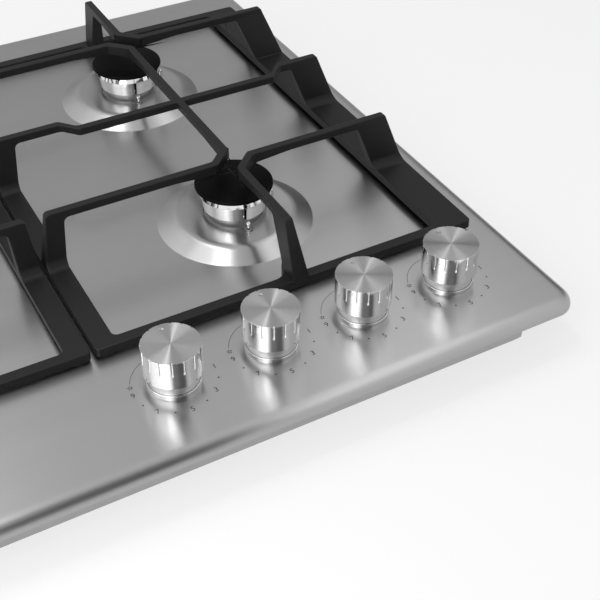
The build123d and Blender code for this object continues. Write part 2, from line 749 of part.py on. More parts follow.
def pan_support():
    """Right-hand casting: a frame band on the top, legs, fingers and the cross bar."""
    x0, x1, x2, x3 = SUPPORT_X
    y0, y1, y2, y3 = SUPPORT_Y
    band = fillet(block(x0, x3, y0, y3, BAND_LOW, BAND_TOP).edges().filter_by(Axis.Z), 3.0)
    window = block(x1, x2, y1, y2, BAND_LOW - 1, BAND_TOP + 1)
    window = fillet(window.edges().filter_by(Axis.Z), 4.0)
    leg, foot = front_leg()
    half = burner_fingers() + leg + inner_leg(BURNER_FRONT_Y) + outer_leg(BURNER_FRONT_Y)
    middle = cross_bar() + inner_leg(CROSS_END_Y) + outer_leg(CROSS_END_Y)
    link = block(BURNER_X - HALF, BURNER_X + HALF, CROSS_MID_Y, CROSS_MID_Y + 22, BAR_LOW, SUPPORT_TOP)
    return (band - window) + half + flip(half) + middle + link + foot + flip(foot)


# ---------------------------------------------------------------- every piece, written by name
save(hob_top(), "hob_top")
save(under_tray(), "under_tray")
save(worktop_seal(), "worktop_seal")
save(gas_rail(), "gas_rail")
save(gas_inlet(), "gas_inlet")
save_group([rail_bracket(x) for x in BRACKET_X], "rail_brackets")
save_group([bracket_screw(x) for x in BRACKET_X], "bracket_screws")

for i, kx in enumerate(KNOB_X, start=1):
    save(valve_body(kx), f"valve_body_{i}")
    save(valve_plug(kx), f"valve_plug_{i}")
    save(spindle(kx), f"spindle_{i}")
    save(knob(kx), f"knob_{i}")
save_group([knob_bezel(x) for x in KNOB_X], "knob_bezels")
save_group([spindle_seal(x) for x in KNOB_X], "spindle_seals")
save_group([ignition_switch(x) for x in KNOB_X], "ignition_switches")

for i, (cx, cy) in enumerate(BURNERS, start=1):
    save(Pos(cx, cy, 0) * burner_cup(), f"burner_cup_{i}")
    save(Pos(cx, cy, 0) * burner_crown(), f"burner_crown_{i}")
    save(Pos(cx, cy, 0) * burner_cap(), f"burner_cap_{i}")
    save(Pos(*around(IGNITER_ANGLE, IGNITER_R, cx, cy), 0) * igniter(), f"igniter_{i}")
    save(Pos(*around(SENSOR_ANGLE, SENSOR_R, cx, cy), 0) * flame_sensor(), f"flame_sensor_{i}")
save_group([Pos(cx, cy, 0) * injector() for cx, cy in BURNERS], "injectors")

FRONT_IN = BURNER_FRONT_Y - CUP_SOCKET + 2
REAR_IN = BURNER_REAR_Y - CUP_SOCKET + 2
ROUTES = (
    [(KNOB_X[0], VALVE_REAR_Y), (KNOB_X[0], -145), (-BURNER_X, -145), (-BURNER_X, FRONT_IN)],
    [(KNOB_X[1], VALVE_REAR_Y), (KNOB_X[1], 20), (-BURNER_X, 20), (-BURNER_X, REAR_IN)],
    [(KNOB_X[2], VALVE_REAR_Y), (KNOB_X[2], -155), (BURNER_X, -130), (BURNER_X, FRONT_IN)],
    [(KNOB_X[3], VALVE_REAR_Y), (KNOB_X[3], 30), (BURNER_X, 60), (BURNER_X, REAR_IN)],
)
for i, route in enumerate(ROUTES, start=1):
    path = [(x, y, PIPE_Z) for x, y in route]
    save(tube(path, PIPE_BEND, PIPE_R, PIPE_R - PIPE_WALL), f"supply_pipe_{i}")

save(spark_generator(), "spark_generator")
save(terminal_block(), "terminal_block")
save(cable_gland(), "cable_gland")

support = pan_support()
save(support, "pan_support_right")
save(mirror(support, Plane.YZ), "pan_support_left")
PAD_X = ((SUPPORT_X[0] + SUPPORT_X[1]) / 2, (SUPPORT_X[2] + SUPPORT_X[3]) / 2)
PAD_Y = (SUPPORT_Y[0] + 7.0, SUPPORT_MID_Y, SUPPORT_Y[3] - 7.0)
for side, name in ((1, "right"), (-1, "left")):
    pads = [cyl(PAD_R, PLATE_Z, BAND_LOW, side * x, y) for x in PAD_X for y in PAD_Y]
    save_group(pads, f"support_pads_{name}")
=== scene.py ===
# %% [markdown]
# A built-in gas cooktop: a brushed steel top with four burners, two cast pan supports and
# four fluted knobs. The CAD model is packed already, and it is loaded here as a fixed frame.
# Everything below either gives a CAD piece a finish or puts a finer surface in its place.

# %% Load the frame
import json
import math

import bmesh
import bpy
import numpy as np
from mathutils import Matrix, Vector
from mathutils.geometry import delaunay_2d_cdt


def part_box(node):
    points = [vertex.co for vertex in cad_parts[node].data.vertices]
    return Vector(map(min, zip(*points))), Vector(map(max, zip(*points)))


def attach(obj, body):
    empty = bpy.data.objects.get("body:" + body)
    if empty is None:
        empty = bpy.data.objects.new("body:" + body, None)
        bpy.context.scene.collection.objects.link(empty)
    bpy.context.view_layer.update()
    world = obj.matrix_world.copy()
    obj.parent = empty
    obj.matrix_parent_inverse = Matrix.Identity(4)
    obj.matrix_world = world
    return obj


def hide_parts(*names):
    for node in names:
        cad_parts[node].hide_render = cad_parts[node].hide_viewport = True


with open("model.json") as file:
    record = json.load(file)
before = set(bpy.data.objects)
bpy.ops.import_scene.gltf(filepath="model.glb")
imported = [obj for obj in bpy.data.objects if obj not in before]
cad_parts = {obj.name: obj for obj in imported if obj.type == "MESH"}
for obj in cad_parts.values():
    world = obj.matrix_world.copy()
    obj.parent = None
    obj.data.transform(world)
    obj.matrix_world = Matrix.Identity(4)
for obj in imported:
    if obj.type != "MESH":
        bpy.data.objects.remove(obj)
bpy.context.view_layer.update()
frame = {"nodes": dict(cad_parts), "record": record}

MM = 0.001
nodes = frame["nodes"]

# %% [markdown]
# The camera stands in front and to the left of the hob and looks down at its right front
# burner and its knobs. It could be aimed with a constraint, but plain angles keep the same
# picture whatever is built later. Place, turn and lens were worked out from the edges of the
# top, the knobs and the round seats, all of which are real sizes.

# %% Camera
CAMERA_PLACE = (-0.1329, -0.6584, 0.5113)
LOOK_DOWN = 40.29        # degrees below the horizon
LOOK_RIGHT = 28.96       # degrees to the right of straight ahead
LENS = 68.15             # millimetres on a 36 mm wide sensor

lens = bpy.data.cameras.new("camera")
lens.sensor_width = 36.0
lens.lens = LENS
lens.clip_start = 0.05
camera = bpy.data.objects.new("camera", lens)
camera.location = CAMERA_PLACE
camera.rotation_euler = (math.radians(90 - LOOK_DOWN), 0, math.radians(-LOOK_RIGHT))
bpy.context.scene.collection.objects.link(camera)
bpy.context.scene.camera = camera
bpy.context.scene.view_settings.view_transform = "Standard"
print("camera at", CAMERA_PLACE, "with a lens of", LENS, "mm")

# %% [markdown]
# A material is a small tree of nodes. A few short helpers make the trees below easy to read:
# one starts a material, one adds a node and sets its inputs, one joins two sockets.

# %% Helpers for node trees
def new_material(name, **values):
    """Material whose only shader takes the given values, such as Roughness=0.4."""
    material = bpy.data.materials.new(name)
    material.use_nodes = True
    shader = material.node_tree.nodes["Principled BSDF"]
    for key, value in values.items():
        shader.inputs[key.replace("_", " ")].default_value = value
    return material, shader


def add_node(tree, kind, settings=(), **inputs):
    """Node of one kind, with its settings and the values of its inputs."""
    node = tree.nodes.new(kind)
    for key, value in dict(settings).items():
        setattr(node, key, value)
    for key, value in inputs.items():
        socket = node.inputs[key.replace("_", " ")]
        if isinstance(value, bpy.types.NodeSocket):
            tree.links.new(value, socket)
        else:
            socket.default_value = value
    return node


def grey(value, warmth=0.0):
    """Colour of one brightness, a little warmer or cooler than neutral."""
    return (value * (1 + warmth), value, value * (1 - warmth), 1.0)


def stretched_noise(tree, size, detail=2.0, roughness=0.5):
    """Noise whose spots have the given size along x, y and z in metres."""
    place = add_node(tree, "ShaderNodeTexCoord").outputs["Object"]
    scale = tuple(1.0 / s for s in size)
    mapping = add_node(tree, "ShaderNodeMapping", Vector=place, Scale=scale)
    noise = add_node(
        tree, "ShaderNodeTexNoise",
        Vector=mapping.outputs["Vector"], Scale=1.0, Detail=detail, Roughness=roughness,
    )
    return noise.outputs["Fac"]


def spread(tree, factor, low, high):
    """Number that runs from low to high as a noise goes over its usual range."""
    node = add_node(tree, "ShaderNodeMapRange", Value=factor)
    limits = {"From Min": 0.3, "From Max": 0.7, "To Min": low, "To Max": high}
    for socket, value in limits.items():
        node.inputs[socket].default_value = value
    return node.outputs["Result"]


def shades(tree, factor, dark, light):
    """Colour that runs between two shades as a noise goes over its usual range."""
    ramp = tree.nodes.new("ShaderNodeValToRGB")
    ramp.color_ramp.elements[0].position = 0.3
    ramp.color_ramp.elements[1].position = 0.7
    ramp.color_ramp.elements[0].color = dark
    ramp.color_ramp.elements[1].color = light
    tree.links.new(factor, ramp.inputs["Fac"])
    return ramp.outputs["Color"]


def relief(tree, shader, factor, depth):
    """Fine height of the surface, as deep as the given number of metres."""
    bump = add_node(tree, "ShaderNodeBump", Height=factor, Distance=depth, Strength=1.0)
    tree.links.new(bump.outputs["Normal"], shader.inputs["Normal"])


# %% [markdown]
# The light is a plain white studio: a white world and a pale floor. Making them white with
# more light would also bleach the metal. So the object is lit at a plain level, and a Light
# Path node shows the camera, shiny surfaces and glass a whiter world and floor than the one
# that gives the light. The floor still darkens a little where the object shades it.

# %% World and floor
WORLD_LEVEL = 0.5            # strength of the light that the world gives
FLOOR_SIZE = 6.0
FLOOR_WHITE = 0.7            # share of plain white in what the camera sees of the floor
LOOK_AT = (0.14, -0.1, 0.04)     # where lamps and cards face: beside the front right burner

world = bpy.data.worlds.new("studio")
world.use_nodes = True
bpy.context.scene.world = world
tree = world.node_tree
tree.nodes.clear()


def seen_directly(tree):
    """One for rays from the camera, from shiny surfaces and through glass, else nought."""
    path = add_node(tree, "ShaderNodeLightPath")
    either = add_node(tree, "ShaderNodeMath", {"operation": "MAXIMUM"})
    tree.links.new(path.outputs["Is Camera Ray"], either.inputs[0])
    tree.links.new(path.outputs["Is Glossy Ray"], either.inputs[1])
    also = add_node(tree, "ShaderNodeMath", {"operation": "MAXIMUM"})
    tree.links.new(either.outputs[0], also.inputs[0])
    tree.links.new(path.outputs["Is Transmission Ray"], also.inputs[1])
    return also.outputs[0]


around_object = add_node(tree, "ShaderNodeBackground", Color=grey(1.0), Strength=WORLD_LEVEL)
background = add_node(tree, "ShaderNodeBackground", Color=grey(1.0), Strength=1.0)
mix = add_node(tree, "ShaderNodeMixShader", Fac=seen_directly(tree))
tree.links.new(around_object.outputs[0], mix.inputs[1])
tree.links.new(background.outputs[0], mix.inputs[2])
output = add_node(tree, "ShaderNodeOutputWorld")
tree.links.new(mix.outputs[0], output.inputs["Surface"])


def panel(name, centre, width, height, material, target=LOOK_AT):
    """Flat card that faces a target, given by its centre, width and height."""
    half = np.array([[-1, -1], [1, -1], [1, 1], [-1, 1]]) * (width / 2, height / 2)
    facing = (Vector(target) - Vector(centre)).to_track_quat("Z", "Y")
    points = [Vector(centre) + facing @ Vector((a, b, 0)) for a, b in half]
    mesh = bpy.data.meshes.new(name)
    mesh.from_pydata(points, [], [(0, 1, 2, 3)])
    card = bpy.data.objects.new(name, mesh)
    card.data.materials.append(material)
    bpy.context.scene.collection.objects.link(card)
    return card


floor_paint, shader = new_material("floor", Base_Color=grey(0.86), Roughness=0.9)
tree = floor_paint.node_tree
tree.links.new(
    shades(tree, stretched_noise(tree, (0.4, 0.4, 0.4)), grey(0.85), grey(0.87)),
    shader.inputs["Base Color"],
)
share = add_node(tree, "ShaderNodeMath", {"operation": "MULTIPLY"})
tree.links.new(seen_directly(tree), share.inputs[0])
share.inputs[1].default_value = FLOOR_WHITE
white = add_node(tree, "ShaderNodeEmission", Color=grey(1.0), Strength=1.0)
mix = add_node(tree, "ShaderNodeMixShader", Fac=share.outputs[0])
tree.links.new(shader.outputs[0], mix.inputs[1])
tree.links.new(white.outputs[0], mix.inputs[2])
tree.links.new(mix.outputs[0], tree.nodes["Material Output"].inputs["Surface"])
panel("floor", (0, 0, -0.0005), FLOOR_SIZE, FLOOR_SIZE, floor_paint, target=(0, 0, 1))
print("world at", WORLD_LEVEL, "and a floor", FLOOR_SIZE, "m wide")

# %% [markdown]
# Polished metal shows whatever stands round it, so photographers place lamps and cards by
# what they want to see in it. Here a wide lamp and a narrow one at the left draw the bright
# line down each knob, a small one overhead draws the streak on the knobs' faces, and a soft
# one above brightens the slope round the burner. Dark cards in front and at the right give
# the black bands beside the bright ones. A grey card behind and a bright one high at the
# right show in the flat sheet. More lamps could do this only by lighting everything else
# too, so the cards are seen by reflections only and cast no shadow.

# %% Lamps and cards
def towards(azimuth, elevation, distance, target=LOOK_AT):
    """Place at a distance from a target; azimuth 0 is in front, 90 at the left."""
    a, e = math.radians(azimuth), math.radians(elevation)
    step = Vector((-math.sin(a) * math.cos(e), -math.cos(a) * math.cos(e), math.sin(e)))
    return Vector(target) + step * distance


def lamp(name, place, width, height, radiance, target=LOOK_AT):
    """Rectangular lamp that is as bright as radiance when it is looked at."""
    light = bpy.data.lights.new(name, "AREA")
    light.shape = "RECTANGLE"
    light.size, light.size_y = width, height
    light.energy = radiance * width * height * math.pi
    lamp_object = bpy.data.objects.new(name, light)
    lamp_object.location = place
    facing = Vector(target) - Vector(place)
    lamp_object.rotation_euler = facing.to_track_quat("-Z", "Y").to_euler()
    bpy.context.scene.collection.objects.link(lamp_object)


def card(name, place, width, height, shade):
    """Card of one shade that only reflections see."""
    paper, paper_shader = new_material(
        name, Base_Color=grey(0.0), Roughness=1.0, Specular_IOR_Level=0.0
    )
    paper_shader.inputs["Emission Color"].default_value = grey(shade)
    paper_shader.inputs["Emission Strength"].default_value = 1.0
    made = panel(name, place, width, height, paper)
    made.visible_camera = False
    made.visible_diffuse = False
    made.visible_shadow = False


# Each line gives a name, a place, a width, a height and how bright it looks.
lamp("lamp_left", (-0.46, -0.38, 0.41), 0.90, 0.5, 2.2)
lamp("lamp_narrow", (-0.33, -0.52, 0.45), 0.10, 0.25, 9.0)
lamp("lamp_streak", (-0.179, -0.101, 1.5), 0.14, 0.14, 45.0)
lamp("lamp_above", (-0.36, 0.13, 1.2), 0.55, 0.75, 1.8)
card("card_behind", towards(205, 22, 2.2), 3.4, 1.5, 0.45)
card("card_front", (0.05, -0.60, 0.50), 0.42, 0.70, 0.05)
card("card_right", towards(243, 14, 2.0), 1.0, 0.9, 0.03)
card("card_over", (0.84, -0.2, 1.45), 2.2, 0.36, 1.8)
print("lamps:", len(bpy.data.lights), "of", [light.name for light in bpy.data.lights])

# %% [markdown]
# Every new surface below is an array of points worked out at once with numpy. A grid of
# points becomes quads, and the outline of a turned part becomes such a grid when it goes
# round its axis. Blender's own primitives could be scaled to size, but they have no bevels,
# flutes or hollows, and a grid gives these and a clean map for the finish together.

# %% From arrays to surfaces
def rounded(corners, steps=6):
    """Outline through (a, b) corners; a third number is the radius of an arc that touches both
    sides and takes the corner's place."""
    corners = [tuple(c) for c in corners]
    points = []
    for before, (a, b, *radius), after in zip(
        corners[-1:] + corners[:-1], corners, corners[1:] + corners[:1]
    ):
        here = np.array((a, b))
        if not radius:
            points.append(here[None])
            continue
        back = np.subtract(before[:2], here) / np.hypot(*np.subtract(before[:2], here))
        ahead = np.subtract(after[:2], here) / np.hypot(*np.subtract(after[:2], here))
        half = math.acos(np.clip(back @ ahead, -1, 1)) / 2
        centre = here + (back + ahead) / np.hypot(*(back + ahead)) * radius[0] / math.sin(half)
        first = here + back * radius[0] / math.tan(half) - centre
        last = here + ahead * radius[0] / math.tan(half) - centre
        turn = math.pi - 2 * half
        s = np.linspace(0, 1, steps + 1)[:, None]
        arc = first * np.sin((1 - s) * turn) + last * np.sin(s * turn)
        points.append(centre + arc / math.sin(turn))
    return np.concatenate(points)


def grid_surface(points, around=False, uv=None):
    """Quads over a grid of points, row by row; around joins the last column to the first.
    Rows that run outwards and columns that run anticlockwise give an upward face."""
    rows, columns = points.shape[:2]
    r, c = np.meshgrid(
        np.arange(rows - 1), np.arange(columns if around else columns - 1), indexing="ij"
    )
    r, c = r.ravel(), c.ravel()
    corners = ((r, c), (r + 1, c), (r + 1, c + 1), (r, c + 1))
    faces = np.stack([a * columns + b % columns for a, b in corners], -1)
    if uv is None:
        uv = points[..., :2]
        uv = np.concatenate([uv, uv[:, :1]], 1)
    maps = np.stack([uv[a, b] for a, b in corners], 1)
    return points.reshape(-1, 3), faces, maps


def turned(outline, centre, angles=72, carve=None):
    """Surface of revolution: each (radius, height) of the outline goes round an upright axis.
    The outline runs from the top outwards and down. carve(radius, height, angle) may change
    both. The map's first number is the share of a turn, its second the way along the outline."""
    if np.isscalar(angles):
        angles = np.linspace(0, 2 * np.pi, angles, endpoint=False)
    outline = np.asarray(outline, float)
    radius, height = (np.repeat(outline[:, k : k + 1], len(angles), 1) for k in (0, 1))
    if carve:
        radius, height = carve(radius, height, angles[None, :])
    points = np.stack(
        [centre[0] + radius * np.cos(angles), centre[1] + radius * np.sin(angles), height], -1
    )
    way = np.concatenate([[0], np.cumsum(np.hypot(*np.diff(outline, axis=0).T))])
    share = np.concatenate([angles, angles[:1] + 2 * np.pi]) / (2 * np.pi)
    uv = np.stack(np.meshgrid(share, way), -1)
    return grid_surface(points, around=True, uv=uv)


def flat_surface(loops, height, holes=()):
    """Flat face between closed loops of (x, y) points: the first is its outline, the others
    are holes, and holes lists their (x, y, radius) so that what lies inside is dropped."""
    points = np.concatenate(loops)
    starts = np.cumsum([0] + [len(loop) for loop in loops])
    edges = [
        (int(a + k), int(a + (k + 1) % (b - a)))
        for a, b in zip(starts[:-1], starts[1:])
        for k in range(b - a)
    ]
    found = delaunay_2d_cdt([Vector(p) for p in points], edges, [], 0, 1e-9)
    points = np.array([tuple(v) for v in found[0]])
    faces = np.array([tuple(f) for f in found[2]])
    middle = points[faces].mean(1)
    keep = np.ones(len(faces), bool)
    for x, y, radius in holes:
        keep &= np.hypot(middle[:, 0] - x, middle[:, 1] - y) > radius * 0.999
    faces = faces[keep]
    uv = points[faces]
    return np.column_stack([points, np.full(len(points), height)]), faces, uv


def build_mesh(name, surfaces, weld=1e-6):
    """One mesh from several surfaces, with equal points merged and a map of its own."""
    mesh = bpy.data.meshes.new(name)
    points, faces, maps, start = [], [], [], 0
    for surface_points, surface_faces, surface_maps in surfaces:
        points.append(surface_points)
        faces += (surface_faces + start).tolist()
        maps.append(surface_maps.reshape(-1, 2))
        start += len(surface_points)
    mesh.from_pydata(np.concatenate(points).tolist(), [], faces)
    layer = mesh.uv_layers.new(name="map")
    layer.data.foreach_set("uv", np.concatenate(maps).astype(np.float32).ravel())
    work = bmesh.new()
    work.from_mesh(mesh)
    bmesh.ops.remove_doubles(work, verts=work.verts, dist=weld)
    bmesh.ops.dissolve_degenerate(work, edges=work.edges, dist=weld / 10)
    work.to_mesh(mesh)
    work.free()
    return mesh


def sheet_of(mesh, thickness):
    """The mesh with a wall of the given thickness on its inner side."""
    stand = bpy.data.objects.new("wall", mesh)
    bpy.context.scene.collection.objects.link(stand)
    wall = stand.modifiers.new("wall", "SOLIDIFY")
    wall.thickness = thickness
    wall.offset = -1.0
    wall.use_even_offset = True
    dressed = stand.evaluated_get(bpy.context.evaluated_depsgraph_get())
    made = bpy.data.meshes.new_from_object(dressed)
    bpy.data.objects.remove(stand)
    return made


def piece(name, mesh, material, body, stands_for=(), sharp=35.0):
    """Finished piece: smooth except at edges sharper than an angle, riding on its body."""
    mesh.polygons.foreach_set("use_smooth", [True] * len(mesh.polygons))
    mesh.set_sharp_from_angle(angle=math.radians(sharp))
    mesh.materials.clear()
    mesh.materials.append(material)
    made = bpy.data.objects.new(name, mesh)
    bpy.context.scene.collection.objects.link(made)
    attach(made, body)
    if stands_for:
        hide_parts(*stands_for)
    print(f"{name}: {len(mesh.polygons)} faces")
    return made


def true_flats(made):
    """Large faces keep their own normals, and only the narrow faces between them blend."""
    weighted = made.modifiers.new("normals", "WEIGHTED_NORMAL")
    weighted.keep_sharp = True


def face_places(mesh, centre):
    """Each face's distance from an upright axis and its height."""
    at = np.zeros(len(mesh.polygons) * 3)
    mesh.polygons.foreach_get("center", at)
    return np.hypot(at[::3] - centre[0], at[1::3] - centre[1]), at[2::3]


def set_finishes(mesh, numbers):
    """Number of each face's finish, in the order in which the mesh holds them."""
    mesh.polygons.foreach_set("material_index", numbers.astype(np.int32))


def circle(x, y, radius, steps):
    """Points round a circle, anticlockwise."""
    a = np.linspace(0, 2 * np.pi, steps, endpoint=False)
    return np.column_stack([x + radius * np.cos(a), y + radius * np.sin(a)])


# %% [markdown]
# The top is one sheet of stainless steel with a fine straight grain from left to right. The
# grain is too fine to model, so it is a noise drawn out along X that tilts the surface, and
# the shader's own anisotropy smears reflections across the grain, as real brushing does.

# %% Steel finishes
def brushed_steel(name, shade, roughness, anisotropy, grain=(0.05, 0.00035, 0.00035)):
    """Steel with a straight grain along X."""
    material, shader = new_material(
        name, Metallic=1.0, Anisotropic=anisotropy, Anisotropic_Rotation=0.25
    )
    tree = material.node_tree
    fine = stretched_noise(tree, grain, detail=3.0, roughness=0.6)
    broad = stretched_noise(tree, (0.25, 0.02, 0.05), detail=2.0)
    tree.links.new(
        spread(tree, fine, roughness - 0.02, roughness + 0.02), shader.inputs["Roughness"]
    )
    mixed = add_node(tree, "ShaderNodeMath", {"operation": "ADD"})
    tree.links.new(fine, mixed.inputs[0])
    tree.links.new(broad, mixed.inputs[1])
    half = add_node(tree, "ShaderNodeMath", {"operation": "MULTIPLY"})
    tree.links.new(mixed.outputs[0], half.inputs[0])
    half.inputs[1].default_value = 0.5
    tree.links.new(
        shades(tree, half.outputs[0], grey(shade * 0.97), grey(shade * 1.03)),
        shader.inputs["Base Color"],
    )
    relief(tree, shader, fine, 0.0000004)
    tangent = add_node(tree, "ShaderNodeTangent", {"direction_type": "UV_MAP", "uv_map": "map"})
    tree.links.new(tangent.outputs["Tangent"], shader.inputs["Tangent"])
    return material


def metal(name, shade, roughness, spots=(0.002, 0.002, 0.002), warmth=0.0, depth=0.000002):
    """Plain or polished metal with slight spots in its shine."""
    material, shader = new_material(name, Metallic=1.0)
    tree = material.node_tree
    noise = stretched_noise(tree, spots, detail=3.0)
    tree.links.new(
        spread(tree, noise, roughness * 0.8, roughness * 1.25), shader.inputs["Roughness"]
    )
    tree.links.new(
        shades(tree, noise, grey(shade * 0.94, warmth), grey(shade * 1.04, warmth)),
        shader.inputs["Base Color"],
    )
    relief(tree, shader, noise, depth)
    return material


def coated(
    name, shade, roughness, spots=(0.001, 0.001, 0.001), depth=0.00003, warmth=0.0, gloss=0.5
):
    """Paint, enamel, rubber or plastic: not a metal, with a slight grain."""
    material, shader = new_material(name, Specular_IOR_Level=gloss)
    tree = material.node_tree
    noise = stretched_noise(tree, spots, detail=4.0, roughness=0.6)
    tree.links.new(
        spread(tree, noise, roughness - 0.05, roughness + 0.06), shader.inputs["Roughness"]
    )
    tree.links.new(
        shades(tree, noise, grey(shade * 0.85, warmth), grey(shade * 1.15, warmth)),
        shader.inputs["Base Color"],
    )
    relief(tree, shader, noise, depth)
    return material


top_steel = brushed_steel("top_steel", 0.40, 0.31, 0.85)
print("steel:", top_steel.name)

# %% [markdown]
# The top has a rolled rim, and one raised, dished seat is pressed into it round each burner.
# It could be modelled as a box with Boolean cuts, but the blends from the flat sheet into
# each seat need smooth rows of faces. So the rim is a profile carried round a rectangle, each
# seat's slope is a profile turned about the burner, flat faces fill what is left, and a wall
# is given to the whole sheet at the end.

# %% The pressed top
top_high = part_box("hob_top")[1]
PLATE_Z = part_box("support_pads_right")[0].z
RIM_DROP = 7.4 * MM          # a little less than in the CAD, so that the tray shows below it
RIM_ROUND = 7.1 * MM
RIM_STRETCH = 1.3            # the rounding is longer along the top than down the side
PLATE_CORNER = 17 * MM
RIM_INNER = 12 * MM          # flat border that belongs to the rim's grid
SHEET = 1.5 * MM
SEAT_BASE_R = 54.4 * MM
SEAT_TOP_R = 41.5 * MM
SEAT_RISE = top_high.z - PLATE_Z
SEAT_EDGE_R = 60 * MM        # where the seat's grid meets the flat sheet
SEAT_FLAT_R = 36 * MM        # inside this the seat is flat
SEAT_HOLE_R = 22 * MM
SEAT_COLUMNS = 144
SPINDLE_HOLE_R = 7 * MM
IGNITER_R, SENSOR_R = 25.6 * MM, 25.9 * MM
IGNITER_ANGLE, SENSOR_ANGLE = math.radians(-95), math.radians(-15)


def middle(node):
    """Middle of a node's box, in plan."""
    low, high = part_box(node)
    return (low.x + high.x) / 2, (low.y + high.y) / 2


BURNERS = [middle(f"burner_cap_{i}") for i in range(1, 5)]
KNOBS = [middle(f"knob_{i}") for i in range(1, 5)]


def polar(centre, radius, angle):
    """Point at a distance and an angle from a centre, in plan."""
    return centre[0] + radius * math.cos(angle), centre[1] + radius * math.sin(angle)


def carried(profile, reach, corner):
    """Profile (inset from the outside, height) carried round a rounded rectangle: the corner's
    arc keeps its centre and its radius shrinks by the inset. The map unrolls the profile
    outwards, so that a grain runs on over it."""
    turn = np.linspace(0, np.pi / 2, 17)
    half = np.array(reach) - corner
    angles = np.concatenate([turn + k * np.pi / 2 for k in range(4)])
    signs = np.repeat([(1, 1), (-1, 1), (-1, -1), (1, -1)], len(turn), axis=0)
    way = np.column_stack([np.cos(angles), np.sin(angles)])
    inset, height = profile[:, 0], profile[:, 1]
    plan = (signs * half)[None] + way[None] * (corner - inset)[:, None, None]
    heights = np.broadcast_to(height[:, None, None], plan.shape[:2] + (1,))
    points = np.concatenate([plan, heights], -1)
    along = np.concatenate([[0], np.cumsum(np.hypot(*np.diff(profile, axis=0).T))])
    unrolled = plan[0] + way[None] * along[:, None, None]
    return points, np.concatenate([unrolled, unrolled[:, :1]], 1)


rim_profile = rounded([
    (RIM_INNER / RIM_STRETCH, PLATE_Z),
    (0, PLATE_Z, RIM_ROUND),
    (0, PLATE_Z - RIM_DROP),
    (RIM_INNER, PLATE_Z - RIM_DROP),
], steps=12)[:-1] * (RIM_STRETCH, 1)
rim, rim_map = carried(rim_profile, (top_high.x, top_high.y), PLATE_CORNER)
seat_outline = rounded([
    (SEAT_EDGE_R, PLATE_Z),
    (SEAT_BASE_R, PLATE_Z, 1.5 * MM),
    (SEAT_TOP_R, top_high.z, 12.0 * MM),
    (SEAT_FLAT_R, top_high.z),
    (0, 0),
], steps=8)[:-1]
seat_outline = np.concatenate([
    seat_outline[:1], [[SEAT_EDGE_R - 2 * MM, PLATE_Z]], seat_outline[1:-1],
    [[SEAT_FLAT_R + 1 * MM, top_high.z]], seat_outline[-1:],
])[::-1]
top_surfaces = [grid_surface(rim, around=True, uv=rim_map)]
plate_loops = [rim[0, :, :2]]
plate_holes = []
for centre in BURNERS:
    slope = turned(seat_outline, centre, SEAT_COLUMNS)
    top_surfaces.append((slope[0], slope[1], slope[0][slope[1]][..., :2]))
    plate_loops.append(circle(*centre, SEAT_EDGE_R, SEAT_COLUMNS))
    plate_holes.append((*centre, SEAT_EDGE_R))
    holes = [
        (*centre, SEAT_HOLE_R, 72),
        (*polar(centre, IGNITER_R, IGNITER_ANGLE), 3.2 * MM, 24),
        (*polar(centre, SENSOR_R, SENSOR_ANGLE), 2.6 * MM, 24),
    ]
    loops = [circle(*centre, SEAT_FLAT_R, SEAT_COLUMNS)] + [circle(*hole) for hole in holes]
    top_surfaces.append(flat_surface(loops, top_high.z, [hole[:3] for hole in holes]))
for centre in KNOBS:
    plate_loops.append(circle(*centre, SPINDLE_HOLE_R, 36))
    plate_holes.append((*centre, SPINDLE_HOLE_R))
top_surfaces.append(flat_surface(plate_loops, PLATE_Z, plate_holes))
top_mesh = sheet_of(build_mesh("steel_top", top_surfaces), SHEET)
piece("steel_top", top_mesh, top_steel, "hob", ["hob_top"])

# %% [markdown]
# The knobs are turned and polished, with fine flutes round the head. The face on top is spun,
# so its grain runs in circles and throws a narrow streak of light. A flute is a small round
# groove: its depth follows from the circle of the cutter, and it fades out down the side.

# %% Knob finishes
def spun_metal(name, shade, roughness, anisotropy):
    """Turned face: rings of grain, read from the way along the outline in the piece's map."""
    material, shader = new_material(
        name, Metallic=1.0, Anisotropic=anisotropy, Anisotropic_Rotation=0.25
    )
    tree = material.node_tree
    place = add_node(tree, "ShaderNodeUVMap", {"uv_map": "map"}).outputs["UV"]
    mapping = add_node(tree, "ShaderNodeMapping", Vector=place, Scale=(3.0, 5000.0, 1.0))
    noise = add_node(
        tree, "ShaderNodeTexNoise", Vector=mapping.outputs["Vector"], Scale=1.0, Detail=3.0
    ).outputs["Fac"]
    tree.links.new(
        spread(tree, noise, roughness - 0.02, roughness + 0.02), shader.inputs["Roughness"]
    )
    tree.links.new(
        shades(tree, noise, grey(shade * 0.95), grey(shade * 1.05)), shader.inputs["Base Color"]
    )
    relief(tree, shader, noise, 0.0000002)
    tangent = add_node(tree, "ShaderNodeTangent", {"direction_type": "UV_MAP", "uv_map": "map"})
    tree.links.new(tangent.outputs["Tangent"], shader.inputs["Tangent"])
    return material


knob_side = metal("knob_side", 0.80, 0.07)
knob_face = spun_metal("knob_face", 0.38, 0.31, 1.0)
knob_skirt = metal("knob_skirt", 0.72, 0.38, depth=0.0000005)
bezel_chrome = metal("bezel_chrome", 0.60, 0.22, depth=0.0000005)
print("knob finishes:", knob_side.name, knob_face.name, knob_skirt.name, bezel_chrome.name)

# %% [markdown]
# A knob's half section goes from the middle of its face round the outside and up into its
# bore. It has a wide head, a skirt that narrows towards the foot, and a boss for the spindle.
# Cutting sixteen flutes with Booleans would leave long thin faces in the polished side, so
# the flutes are a formula that moves the points of the grid, with more columns where a
# groove begins. The face, the side and the skirt get finishes of their own.

